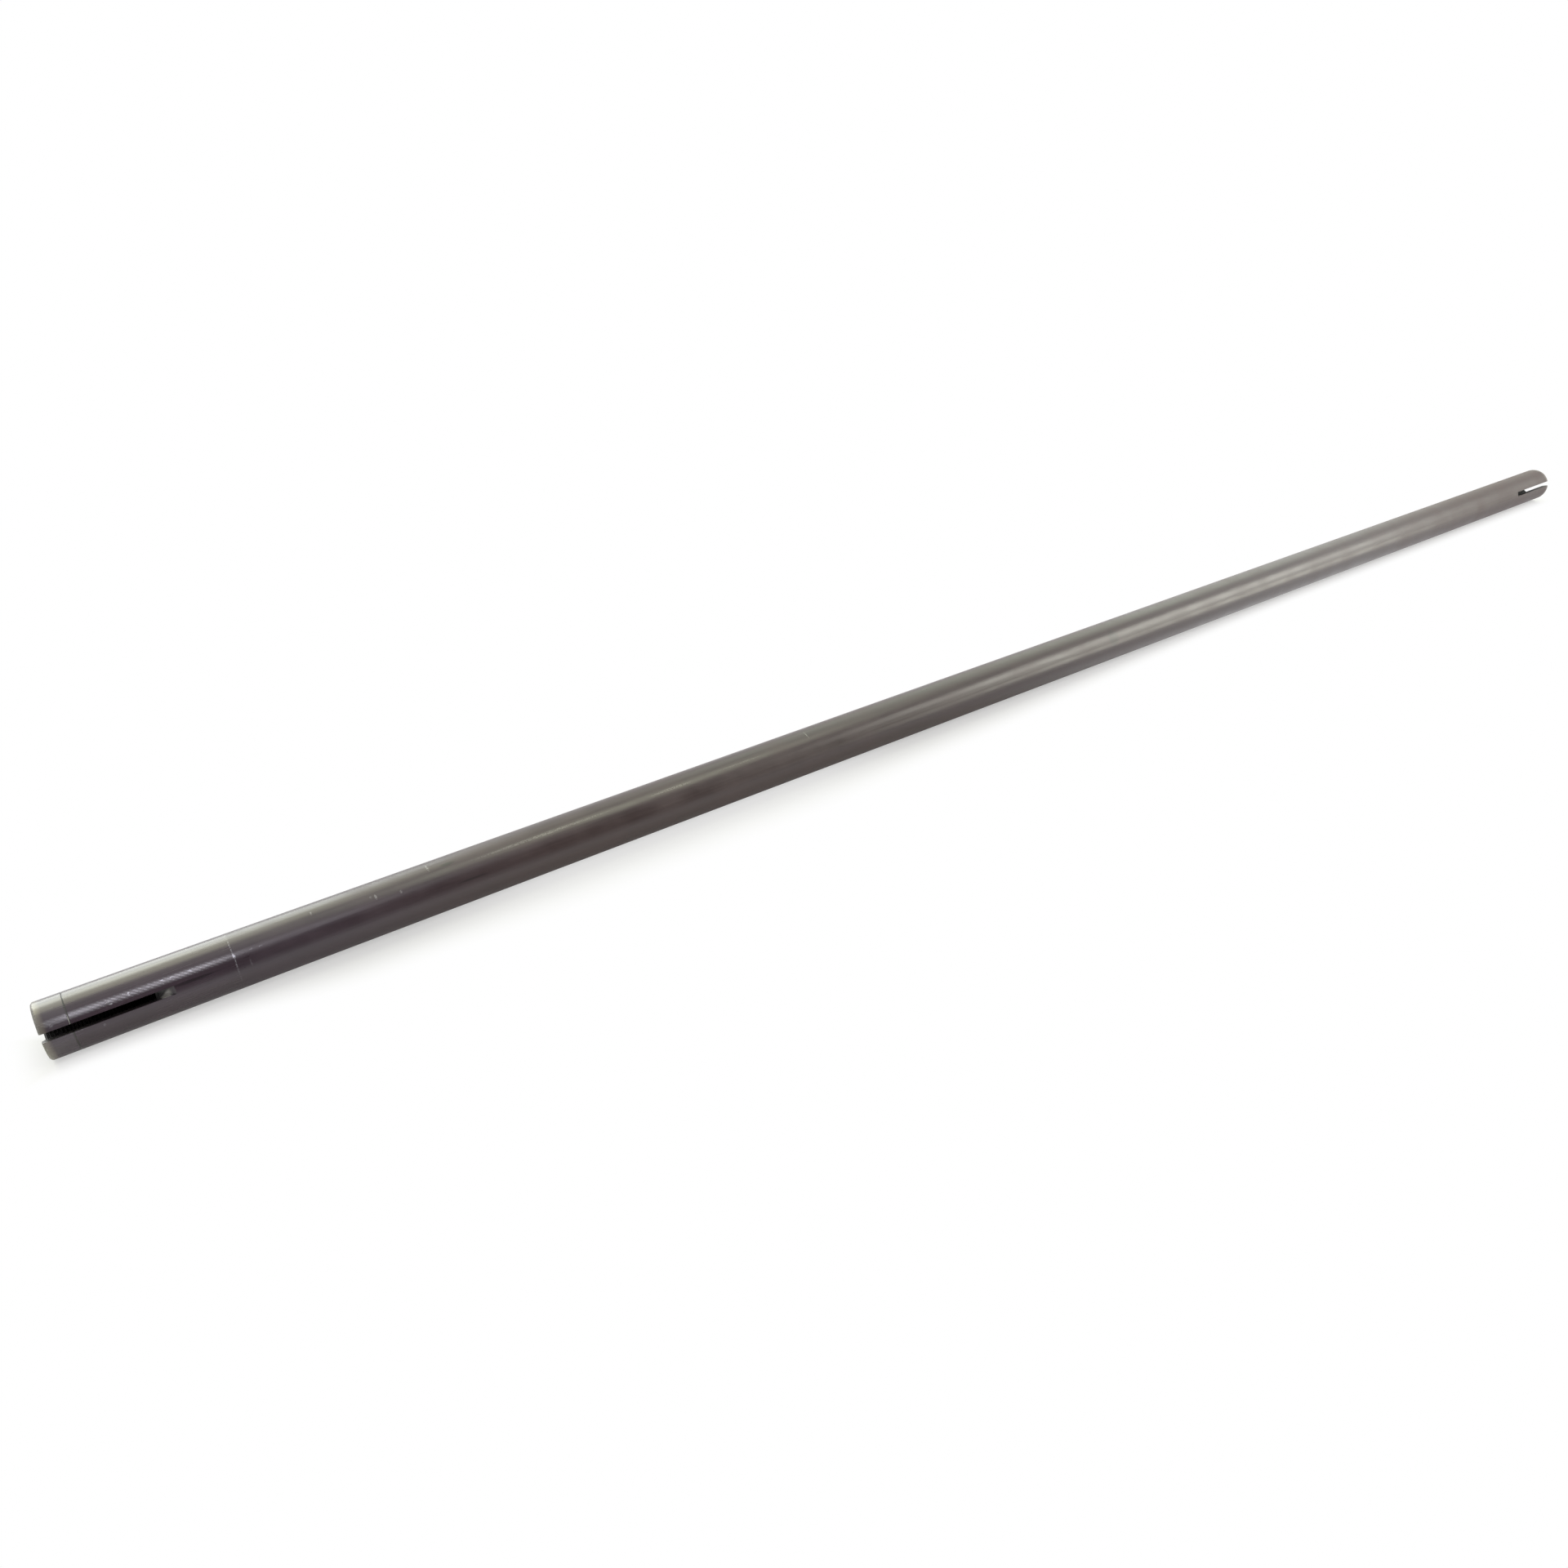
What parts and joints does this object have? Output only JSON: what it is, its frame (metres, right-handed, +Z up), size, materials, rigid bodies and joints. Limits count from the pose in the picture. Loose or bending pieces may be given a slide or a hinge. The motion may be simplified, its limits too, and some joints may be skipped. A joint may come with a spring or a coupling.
{
  "type": "tie rod tube",
  "caption": "Straight seamless steel tie rod tube for a steering linkage, tapped inside at both ends and slotted there so that the threaded rod ends can be pinched fast.",
  "frame": {"origin": "on the tube's axis, midway between its ends", "axes": "+X along the tube's axis; +Z up with the tube lying on a floor; the slots of both ends face -Y, turned up from level by 26.5 degrees at the left end (-X) and 23 degrees at the right end (+X)"},
  "size_m": [1.1812, 0.0254, 0.0254],
  "materials": {
    "dark_steel": "satin, a thin dark oiled oxide on cold drawn steel, smoother on the turned stretch at each end"
  },
  "bodies": {
    "root": {"tube": "dark_steel"}
  },
  "joints": []
}
